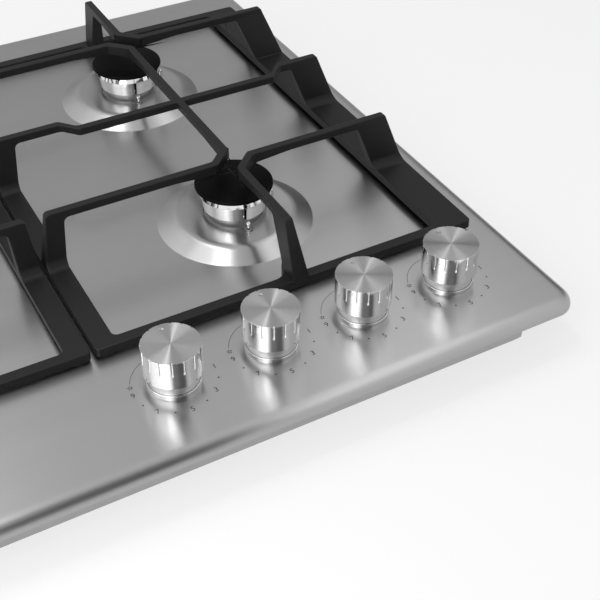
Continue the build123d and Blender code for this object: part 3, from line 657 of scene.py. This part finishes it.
# %% Knobs
KNOB_FLUTES = 16
FLUTE_R = 0.65 * MM
FLUTE_OUT = 0.15 * MM        # the cutter's centre lies this far outside the knob
FLUTE_L = 10 * MM
DOT_R = 1.2 * MM
DOT_Y = 13.6 * MM
DOT_DEPTH = 0.4 * MM
knob_low, knob_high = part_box("knob_1")
KNOB_R = (knob_high.x - knob_low.x) / 2
knob_top, knob_foot = knob_high.z, knob_low.z
HEAD_LOW = knob_top - 20 * MM
SKIRT_TOP_R = 16.4 * MM
SKIRT_R = 15.62 * MM
SKIRT_FOOT_R = 15.55 * MM
SKIRT_LOW = knob_foot - 0.55 * MM
HOLLOW_R = 12.6 * MM         # the head is hollow between its wall and its boss
BOSS_R = 7 * MM
ROOF = knob_top - 4 * MM
SPINDLE_R = 4 * MM
SPINDLE_TOP = knob_top - 6 * MM


def knob_outline():
    """Half section of a knob from the middle of its face, round the outside and up its bore."""
    face = np.concatenate([np.linspace(0, 12, 7), np.linspace(12.2, 15.0, 13), [16.4]]) * MM
    body = rounded([
        (0, knob_top),
        (KNOB_R, knob_top, 0.06 * MM),
        (KNOB_R, HEAD_LOW, 0.2 * MM),
        (SKIRT_TOP_R, HEAD_LOW),
        (SKIRT_R, knob_foot + 3 * MM),
        (SKIRT_FOOT_R, SKIRT_LOW),
        (HOLLOW_R, SKIRT_LOW),
        (HOLLOW_R, ROOF),
        (BOSS_R, ROOF),
        (BOSS_R, SKIRT_LOW),
        (SPINDLE_R, SKIRT_LOW),
        (SPINDLE_R, SPINDLE_TOP),
        (0, SPINDLE_TOP),
    ], steps=5)
    side = knob_top - np.array([2, 4, 6, 8, 8.5, 8.8, 9.1, 9.4, 9.7, 10, 10.4, 13, 16]) * MM
    face = np.column_stack([face, np.full(len(face), knob_top)])
    wall = np.column_stack([np.full(len(side), KNOB_R), side])
    return np.concatenate([face, body[1:7], wall, body[7:]])


def carve_knob(radius, height, angle):
    """Flutes and the pointer's dimple. A flute leaves the radius (R + e) cos d minus the half
    chord of the cutter at the angle d from the flute's middle."""
    pitch = 2 * np.pi / KNOB_FLUTES
    off = (angle - np.pi / 2 + pitch / 2) % pitch - pitch / 2
    reach = KNOB_R + FLUTE_OUT
    chord = FLUTE_R**2 - (reach * np.sin(off)) ** 2
    cut = np.where(chord > 0, reach * np.cos(off) - np.sqrt(np.maximum(chord, 0)), 1.0)
    fade = np.clip((height - (knob_top - FLUTE_L)) / (1.5 * MM), 0, 1) ** 0.5
    outside = radius > KNOB_R - 1.2 * MM
    carved = np.where(outside & (radius > cut), radius + (cut - radius) * fade, radius)
    distance = np.hypot(radius * np.cos(angle), radius * np.sin(angle) - DOT_Y) / DOT_R
    bowl = DOT_DEPTH * np.sqrt(np.clip(1 - distance**2, 0, 1))
    return carved, height - np.where(height > knob_top - 1e-7, bowl, 0)


in_flute = np.radians([-2.6, -2.0, -1.7, -1.2, -0.6, 0, 0.6, 1.2, 1.7, 2.0, 2.6])
between = np.radians([5.0, 7.5, 10.0, 12.0, 14.0, 16.5, 19.0])
flute_middles = np.pi / 2 + np.arange(KNOB_FLUTES) * 2 * np.pi / KNOB_FLUTES
knob_angles = np.sort((flute_middles[:, None] + np.concatenate([in_flute, between])).ravel())
for i, centre in enumerate(KNOBS, start=1):
    surface = turned(knob_outline(), centre, knob_angles, carve_knob)
    knob = piece(
        f"fluted_knob_{i}", build_mesh(f"fluted_knob_{i}", [surface]), knob_side,
        f"knob_{i}", [f"knob_{i}"], sharp=28,
    )
    knob.data.materials.append(knob_face)
    knob.data.materials.append(knob_skirt)
    up = np.zeros(len(knob.data.polygons) * 3)
    knob.data.polygons.foreach_get("normal", up)
    reach, height = face_places(knob.data, centre)
    is_face = (up[2::3] > 0.5) & (height > knob_top - 1 * MM) & (reach < KNOB_R - 0.1 * MM)
    is_skirt = height < HEAD_LOW + 0.01 * MM
    set_finishes(knob.data, is_face + 2 * is_skirt)
    true_flats(knob)

# %% [markdown]
# A bright ring lies on the steel round the foot of each knob. It is a low band with a
# rounded outer edge, so its section is four corners carried round the knob's axis.

# %% Rings at the knobs' feet
RING_TOP = PLATE_Z + 2.9 * MM
RING_BORE_R = 15.72 * MM
bezel_outline = rounded([
    (RING_BORE_R, RING_TOP, 0.1 * MM),
    (16.5 * MM, RING_TOP, 0.4 * MM),
    (16.75 * MM, PLATE_Z),
    (RING_BORE_R, PLATE_Z),
], steps=5)
bezel_outline = np.concatenate([bezel_outline, bezel_outline[:1]])
bezels = build_mesh("bright_bezels", [turned(bezel_outline, centre, 96) for centre in KNOBS])
true_flats(piece("bright_bezels", bezels, bezel_chrome, "hob", ["knob_bezels"]))

# %% [markdown]
# A burner shows a polished crown, a cap in deep black enamel and the inside of its ports,
# painted near black as the shade under the cap. One grey metal could do for all the bright
# pieces, but the crown shines more than the igniter's wire and the sensor, so each finish is
# made from the same few helpers. The igniter's white ceramic is painted grey as shade.

# %% Burner finishes
crown_metal = metal("crown_metal", 0.80, 0.06, spots=(0.01, 0.01, 0.001), depth=0.0000005)
cap_enamel = coated(
    "cap_enamel", 0.0018, 0.45, spots=(0.0006, 0.0006, 0.0006), depth=0.00001, gloss=0.05
)
# Painted shade: the inside of the ports and of the crown under the cap is made near black for the
# shade that falls there.
under_cap_shade = coated("under_cap_shade", 0.004, 0.9, gloss=0.1)
# Painted shade: the igniter's white ceramic is made grey for the shade it stands in beside the
# crown.
igniter_ceramic = coated("igniter_ceramic", 0.30, 0.3, warmth=0.03, depth=0.000003)
igniter_wire = metal("igniter_wire", 0.75, 0.15)
sensor_steel = metal("sensor_steel", 0.60, 0.2, warmth=0.04)
print("burner finishes:", crown_metal.name, cap_enamel.name, under_cap_shade.name, igniter_ceramic.name)

# %% [markdown]
# Each crown stands in its cup with the cap on top. Both are turned parts, so their half
# sections are carried round the burner's axis. The flame ports are notches under the cap:
# where an angle lies within a port, the outline's points are pushed in. Separate cutters
# could do this, but then the rows of faces would no longer run round the crown unbroken.

# %% Crowns and caps
CROWN_PORTS = 24
PORT_HALF = 0.6 * MM
PORT_SHIFT = math.radians(2.5)
PORT_R = 24 * MM             # radius at which the widths of ports and slot are measured
SLOT_SHIFT = math.radians(-2)
SLOT_HALF = 0.9 * MM
WALL_TOP = PLATE_Z + 23.6 * MM
COLLAR_R = 24.4 * MM
COLLAR_TOP = PLATE_Z + 27.1 * MM
CROWN_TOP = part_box("burner_crown_4")[1].z
cap_low, cap_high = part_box("burner_cap_4")
CAP_R = (cap_high.x - cap_low.x) / 2
NECK_TOP = PLATE_Z + 13 * MM


def crown_outline():
    """Half section of a crown from the inside of its rim, round its wall and down its tube."""
    wall = rounded([
        (9.0 * MM, PLATE_Z + 18 * MM),
        (20.5 * MM, PLATE_Z + 18 * MM),
        (20.5 * MM, CROWN_TOP),
        (23.0 * MM, CROWN_TOP, 0.2 * MM),
        (23.0 * MM, COLLAR_TOP + 1.4 * MM),
        (23.0 * MM, COLLAR_TOP + 1.3 * MM),
        (COLLAR_R, WALL_TOP + 0.8 * MM, 0.15 * MM),
        (COLLAR_R, WALL_TOP + 0.5 * MM, 0.15 * MM),
        (23.2 * MM, WALL_TOP),
        (22.0 * MM, NECK_TOP, 0.15 * MM),
        (17.1 * MM, NECK_TOP),
        (17.1 * MM, PLATE_Z + 5 * MM),
        (15.6 * MM, PLATE_Z + 5 * MM),
        (15.6 * MM, PLATE_Z + 15.6 * MM),
        (7.6 * MM, PLATE_Z + 15.6 * MM),
        (7.6 * MM, PLATE_Z + 2 * MM),
        (9.0 * MM, PLATE_Z + 2 * MM),
    ], steps=3)
    return np.concatenate([wall, wall[:1]])


def carve_crown(radius, height, angle):
    """Ports under the cap and the slot in front of the igniter, pushed in from the outside:
    within half a port's width of its middle the radius becomes that of the port's back."""
    port = (angle - PORT_SHIFT + np.pi / CROWN_PORTS) % (2 * np.pi / CROWN_PORTS)
    in_port = np.abs(port - np.pi / CROWN_PORTS) * PORT_R < PORT_HALF
    upper = (height > COLLAR_TOP + 1.35 * MM) & (radius > 21 * MM)
    slot = np.abs((angle - IGNITER_ANGLE + np.pi) % (2 * np.pi) - np.pi - SLOT_SHIFT)
    in_slot = (slot * PORT_R < SLOT_HALF) & (radius > 21.5 * MM) & (height > NECK_TOP - 1e-6)
    radius = np.where(in_port & upper, 20.6 * MM, radius)
    return np.where(in_slot & (height < WALL_TOP + 1e-6), 21.0 * MM, radius), height


edges = np.array([-1.02, -0.98, 0.98, 1.02])     # just outside and inside both edges
port_middles = PORT_SHIFT + np.arange(CROWN_PORTS) * 2 * np.pi / CROWN_PORTS
port_steps = np.concatenate([edges, [2.2, 3.6, 5.2, 7.0]]) * PORT_HALF / PORT_R
slot_steps = IGNITER_ANGLE + SLOT_SHIFT + edges * SLOT_HALF / PORT_R
crown_angles = np.concatenate([(port_middles[:, None] + port_steps).ravel(), slot_steps])
crown_angles = np.sort(crown_angles % (2 * np.pi))
for i, centre in enumerate(BURNERS, start=1):
    surface = turned(crown_outline(), centre, crown_angles, carve_crown)
    crown = piece(
        f"polished_crown_{i}", build_mesh(f"polished_crown_{i}", [surface]), crown_metal,
        f"crown_{i}", [f"burner_crown_{i}"], sharp=18,
    )
    # Second finish: the painted shade for the inside of the ports and the crown under the cap.
    crown.data.materials.append(under_cap_shade)
    reach, height = face_places(crown.data, centre)
    # Faces inside the ports and under the cap take the painted shade.
    set_finishes(crown.data, (reach < 21.8 * MM) & (height > NECK_TOP + 0.01 * MM))
    true_flats(crown)

cap_outline = rounded([
    (0, cap_high.z),
    (14.0 * MM, cap_high.z - 0.1 * MM, 20 * MM),
    (CAP_R, CROWN_TOP + 2.2 * MM, 1.3 * MM),
    (CAP_R, CROWN_TOP, 0.3 * MM),
    (20.2 * MM, CROWN_TOP),
    (20.2 * MM, cap_low.z),
    (18.6 * MM, cap_low.z),
    (18.6 * MM, CROWN_TOP),
    (0, CROWN_TOP),
], steps=8)
for i, centre in enumerate(BURNERS, start=1):
    cap = build_mesh(f"enamel_cap_{i}", [turned(cap_outline, centre, 96)])
    piece(f"enamel_cap_{i}", cap, cap_enamel, f"cap_{i}", [f"burner_cap_{i}"])

# %% [markdown]
# Beside each crown stand an igniter, a ceramic plug with a wire that ends in a small head,
# and a flame sensor, a bare steel tip. Both go through the steel, with a collar above and
# below it. They are turned from a few corners each, and the igniter's two finishes go by
# how far a face lies from the axis and how high.

# %% Igniters and flame sensors
COLLAR_UPPER = PLATE_Z + 3.4 * MM
COLLAR_LOWER = PLATE_Z - 4 * MM
CERAMIC_TOP = PLATE_Z + 7.4 * MM
CERAMIC_END = PLATE_Z - 7 * MM
CERAMIC_R = 2.2 * MM
TIP_R = 1.7 * MM
for i in range(1, 5):
    axis = middle(f"igniter_{i}")
    low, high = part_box(f"igniter_{i}")
    head = high.z - 1.4 * MM
    ceramic = rounded([
        (0, CERAMIC_TOP), (1.1 * MM, CERAMIC_TOP, 0.3 * MM), (CERAMIC_R, CERAMIC_TOP - 2 * MM),
        (CERAMIC_R, COLLAR_UPPER), (3.4 * MM, COLLAR_UPPER, 0.4 * MM),
        (3.4 * MM, COLLAR_LOWER, 0.4 * MM), (CERAMIC_R, COLLAR_LOWER),
        (CERAMIC_R, CERAMIC_END), (0, CERAMIC_END),
    ], steps=5)
    wire = rounded([
        (0, high.z), (1.5 * MM, high.z, 0.5 * MM), (1.5 * MM, head, 0.2 * MM),
        (0.9 * MM, head), (0.9 * MM, CERAMIC_TOP - 1 * MM), (0, CERAMIC_TOP - 1 * MM),
    ])
    pin = rounded([
        (0, CERAMIC_END + 1 * MM), (1.3 * MM, CERAMIC_END + 1 * MM),
        (1.3 * MM, low.z, 0.3 * MM), (0, low.z),
    ])
    surfaces = [turned(ceramic, axis, 40), turned(wire, axis, 24), turned(pin, axis, 24)]
    # The ceramic body carries the painted shade; the wire and pin keep their metal.
    plug = piece(
        f"spark_plug_{i}", build_mesh(f"spark_plug_{i}", surfaces), igniter_ceramic,
        "hob", [f"igniter_{i}"],
    )
    plug.data.materials.append(igniter_wire)
    reach, height = face_places(plug.data, axis)
    outside = (height > CERAMIC_TOP + 0.01 * MM) | (height < CERAMIC_END - 0.01 * MM)
    set_finishes(plug.data, (reach < 1.6 * MM) & outside)

    at = middle(f"flame_sensor_{i}")
    low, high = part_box(f"flame_sensor_{i}")
    probe = rounded([
        (0, high.z), (TIP_R, high.z, 1.2 * MM), (TIP_R, COLLAR_UPPER),
        (3.0 * MM, COLLAR_UPPER, 0.4 * MM), (3.0 * MM, COLLAR_LOWER, 0.4 * MM),
        (TIP_R, COLLAR_LOWER), (TIP_R, low.z), (0, low.z),
    ], steps=5)
    mesh = build_mesh(f"probe_{i}", [turned(probe, at, 32)])
    piece(f"probe_{i}", mesh, sensor_steel, "hob", [f"flame_sensor_{i}"])

# %% [markdown]
# The pan supports are castings: their CAD shape is right, but cast and enamelled edges are
# never sharp. They could be built anew as grids, but nothing else about them would change. So
# a copy of each CAD mesh has its loose triangles merged and its flat faces joined, and a
# Bevel rounds the edges.

# %% Pan supports
support_iron = coated(
    "support_iron", 0.011, 0.45, spots=(0.0009, 0.0009, 0.0009), depth=0.00003, gloss=0.2
)


def merged_copy(node, flat=0.5):
    """Copy of a CAD node's mesh with its loose triangles merged and flat faces joined."""
    mesh = nodes[node].data.copy()
    work = bmesh.new()
    work.from_mesh(mesh)
    bmesh.ops.remove_doubles(work, verts=work.verts, dist=2e-6)
    bmesh.ops.dissolve_limit(
        work, angle_limit=math.radians(flat), verts=work.verts, edges=work.edges
    )
    work.to_mesh(mesh)
    work.free()
    mesh.name = node + "_merged"
    return mesh


for side in ("left", "right"):
    casting = piece(
        f"casting_{side}", merged_copy(f"pan_support_{side}"), support_iron,
        f"support_{side}", [f"pan_support_{side}"],
    )
    edge = casting.modifiers.new("edges", "BEVEL")
    edge.width = 0.8 * MM
    edge.segments = 3
    edge.limit_method = "ANGLE"
    edge.angle_limit = math.radians(30)
    edge.use_clamp_overlap = False
    edge.harden_normals = True

# %% [markdown]
# What lies under the top is mostly hidden, but a hob is also seen from behind and from below.
# Each piece there gets the finish of its real material: plain steel, brass, rubber, plastic
# or cast metal. They share the helpers above, and brass is a tree of its own for its colour.

# %% Finishes of the pieces below the top
tray_steel = metal("tray_steel", 0.42, 0.38, spots=(0.012, 0.012, 0.012))
seal_foam = coated("seal_foam", 0.02, 0.85, spots=(0.0008, 0.0008, 0.0008), depth=0.0002)
rail_steel = metal("rail_steel", 0.55, 0.3)
brass, brass_shader = new_material("brass", Metallic=1.0)
brass_noise = stretched_noise(brass.node_tree, (0.004, 0.004, 0.0004))
brass.node_tree.links.new(
    shades(brass.node_tree, brass_noise, (0.66, 0.48, 0.20, 1), (0.76, 0.58, 0.28, 1)),
    brass_shader.inputs["Base Color"],
)
brass.node_tree.links.new(
    spread(brass.node_tree, brass_noise, 0.2, 0.35), brass_shader.inputs["Roughness"]
)
relief(brass.node_tree, brass_shader, brass_noise, 0.00001)
spindle_steel = metal("spindle_steel", 0.62, 0.22)
seal_rubber = coated("seal_rubber", 0.015, 0.7)
switch_plastic = coated("switch_plastic", 0.02, 0.45)
terminal_plastic = coated("terminal_plastic", 0.65, 0.4)
cup_metal = metal("cup_metal", 0.42, 0.45, spots=(0.001, 0.001, 0.001), depth=0.00004)
pipe_metal = metal("pipe_metal", 0.60, 0.3)

FINISHES = {
    "tray_steel": tray_steel,
    "seal_foam": seal_foam,
    "rail_steel": rail_steel,
    "brass": brass,
    "spindle_steel": spindle_steel,
    "seal_rubber": seal_rubber,
    "switch_plastic": switch_plastic,
    "terminal_plastic": terminal_plastic,
    "cup_metal": cup_metal,
    "pipe_metal": pipe_metal,
}
print("finishes below the top:", len(FINISHES))

# %% [markdown]
# The tray hangs below the rim and shows there as a narrow band. It is folded steel, so its
# upright corners and its lower edge are tighter than the CAD's. A new tray could be modelled,
# but only its roundings differ: a point on a wide arc moves straight out from the arc's
# centre until it lies on a square with a small radius at its corner.

# %% The tray's edges
TRAY_FLANGE = 8 * MM         # the tray's flange reaches this far past its walls
TRAY_CORNER, TIGHT_CORNER = 14 * MM, 4 * MM
TRAY_ROUND, TIGHT_ROUND = 5 * MM, 1.5 * MM
FLANGE_DEPTH = 3 * MM


def squared(a, b, reach, radius):
    """Share by which a point on an arc of radius reach moves out to the side of the square round
    it, whose corner keeps a smaller radius. With c = reach - radius and the point's angle t, the
    corner lies at c (cos t + sin t) + sqrt(radius^2 - c^2 (cos t - sin t)^2)."""
    angle = np.arctan2(b, a)
    u, v = np.cos(angle), np.sin(angle)
    c = reach - radius
    corner = c * (u + v) + np.sqrt(np.maximum(radius**2 - c**2 * (u - v) ** 2, 0))
    side = np.minimum(reach / np.maximum(u, 1e-9), reach / np.maximum(v, 1e-9))
    return np.where(np.abs(u - v) * c < radius, np.minimum(corner, side), side) / reach


def crisp_tray(mesh):
    """The tray's outer corners, made tighter upright and along its lower edge."""
    points = np.zeros(len(mesh.vertices) * 3)
    mesh.vertices.foreach_get("co", points)
    points = points.reshape(-1, 3)
    low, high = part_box("under_tray")
    half = np.array([(high.x - low.x) / 2, (high.y - low.y) / 2]) - TRAY_FLANGE
    sign = np.where(points[:, :2] < 0, -1.0, 1.0)
    over = np.abs(points[:, :2]) - (half - TRAY_CORNER)
    curved = (over > 0).all(1)
    outwards = np.where(curved[:, None], over, 0.0)
    straight = ~curved
    outwards[straight, over.argmax(1)[straight]] = over.max(1)[straight]
    reach = np.hypot(*outwards.T)
    a, b = reach - TRAY_CORNER + TRAY_ROUND, TRAY_ROUND - (points[:, 2] - low.z)
    share = squared(a, b, TRAY_ROUND, TIGHT_ROUND)
    below = (a > 0) & (b > 0) & (over.max(1) > 0)
    more = np.where(below, a * (share - 1), 0.0) / np.maximum(reach, 1e-9)
    over += outwards * more[:, None]
    points[:, 2] -= np.where(below, b * (share - 1), 0.0)
    share = squared(over[:, 0], over[:, 1], TRAY_CORNER, TIGHT_CORNER)
    over *= np.where(curved & (points[:, 2] < high.z - FLANGE_DEPTH), share, 1.0)[:, None]
    points[:, :2] = sign * (over + half - TRAY_CORNER)
    mesh.vertices.foreach_set("co", points.ravel())
    return mesh


# %% [markdown]
# A strip of foam under the rim seals the gap to the worktop. Its section is a rectangle
# carried round the sheet's edge, and it ends where the rim does. The tray, the gas inlet and
# rail and the cable gland are merged copies of their CAD meshes, shaded smooth. What is left
# keeps its CAD mesh: it is hidden inside the tray, and a finish is all that it needs.

# %% Seal, tray and every CAD node that stays
SEAL_W = 7 * MM
SEAL_CORNER = 7 * MM
slots = {part["node"]: part["material_slot"] for part in frame["record"]["subparts"]}
body_of_node = {n: b for b, ns in frame["record"]["behaviour"]["bodies"].items() for n in ns}
seal_low, seal_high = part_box("worktop_seal")
seal_profile = np.array([
    (SEAL_W, PLATE_Z - RIM_DROP), (SEAL_W, seal_high.z), (0, seal_high.z),
    (0, PLATE_Z - RIM_DROP), (SEAL_W, PLATE_Z - RIM_DROP),
])
seal, seal_map = carried(seal_profile, (seal_high.x, seal_high.y), SEAL_CORNER)
seal_mesh = build_mesh("foam_seal", [grid_surface(seal, around=True, uv=seal_map)])
piece("foam_seal", seal_mesh, seal_foam, "hob", ["worktop_seal"])
for name in ("under_tray", "gas_inlet", "cable_gland", "gas_rail"):
    copy = merged_copy(name)
    if name == "under_tray":
        copy = crisp_tray(copy)
    made = piece(
        f"smooth_{name}", copy, FINISHES[slots[name]],
        body_of_node[name], [name],
    )
    true_flats(made)
kept = [n for n, o in nodes.items() if not o.hide_render]
for name in kept:
    nodes[name].data.materials.clear()
    nodes[name].data.materials.append(FINISHES[slots[name]])
print("kept CAD nodes:", len(kept))

# %% [markdown]
# The dials are printed round the knobs: short dots, the odd numbers 1 to 9, a spark sign and
# a thin arc. Printing is ink a few hundredths of a millimetre thick, so the marks are flat
# meshes just above the steel. Text is made a mesh first and put in place afterwards.

# %% Dials
INK_Z = PLATE_Z + 0.05 * MM
DIAL_R = 26.2 * MM
MARK_STEP = 22.5             # degrees between a number and the dot after it
NUMBER_H = 3.8 * MM
STAR_ANGLE = -195.0          # degrees from +X, clockwise past the "9"
STAR_R = 2.0 * MM
ARC_END = -330.0
DOT_MARK_R = 0.6 * MM
dial_ink = coated("dial_ink", 0.03, 0.6)


def flat_disc(x, y, radius, steps=16):
    """Filled circle as a fan from its middle."""
    plan = np.concatenate([[[x, y]], circle(x, y, radius, steps)])
    points = np.column_stack([plan, np.full(steps + 1, INK_Z)])
    k = np.arange(steps)
    faces = np.column_stack([np.zeros(steps, int), k + 1, (k + 1) % steps + 1])
    return points, faces, points[faces][..., :2]


def arc_band(x, y, radius, start, end, width, steps=48):
    """Thin band along an arc, from one angle to another."""
    a = np.radians(np.linspace(start, end, steps))
    rows = [
        np.column_stack([x + r * np.cos(a), y + r * np.sin(a), np.full(steps, INK_Z)])
        for r in (radius - width / 2, radius + width / 2)
    ]
    return grid_surface(np.stack(rows if end > start else rows[::-1]))


def star_outline(x, y, radius, share=0.55):
    """Five-pointed star drawn as a closed line: an outer star and the same star made smaller."""
    a = np.pi / 2 + np.arange(10) * np.pi / 5
    reach = radius * np.where(np.arange(10) % 2 == 0, 1.0, 0.45)
    rows = [
        np.column_stack([x + k * reach * np.cos(a), y + k * reach * np.sin(a), np.full(10, INK_Z)])
        for k in (share, 1.0)
    ]
    points, faces, _ = grid_surface(np.stack(rows), around=True)
    return points, faces, points[faces][..., :2]


def number_surface(text, x, y, height):
    """Text made a mesh, scaled to a height and centred on a point."""
    curve = bpy.data.curves.new("number", "FONT")
    curve.body = text
    stand = bpy.data.objects.new("number", curve)
    bpy.context.scene.collection.objects.link(stand)
    dressed = stand.evaluated_get(bpy.context.evaluated_depsgraph_get())
    made = bpy.data.meshes.new_from_object(dressed)
    bpy.data.objects.remove(stand)
    made.calc_loop_triangles()
    points = np.array([v.co for v in made.vertices])
    faces = np.array([t.vertices for t in made.loop_triangles])
    low, high = points.min(0), points.max(0)
    points = (points - (low + high) / 2) * height / (high[1] - low[1]) + (x, y, 0)
    points[:, 2] = INK_Z
    return points, faces, points[faces][..., :2]


dial_surfaces = []
for x, y in KNOBS:
    for k in range(9):
        place = polar((x, y), DIAL_R, math.radians(-MARK_STEP * k))
        if k % 2 == 0:
            dial_surfaces.append(number_surface(str(k + 1), *place, NUMBER_H))
        else:
            dial_surfaces.append(flat_disc(*place, DOT_MARK_R))
    star_place = polar((x, y), DIAL_R, math.radians(STAR_ANGLE))
    dial_surfaces.append(star_outline(*star_place, STAR_R))
    dial_surfaces.append(arc_band(x, y, DIAL_R, STAR_ANGLE - 7, ARC_END, 0.3 * MM))
dials = build_mesh("dials", dial_surfaces, weld=1e-8)
piece("dials", dials, dial_ink, "hob")
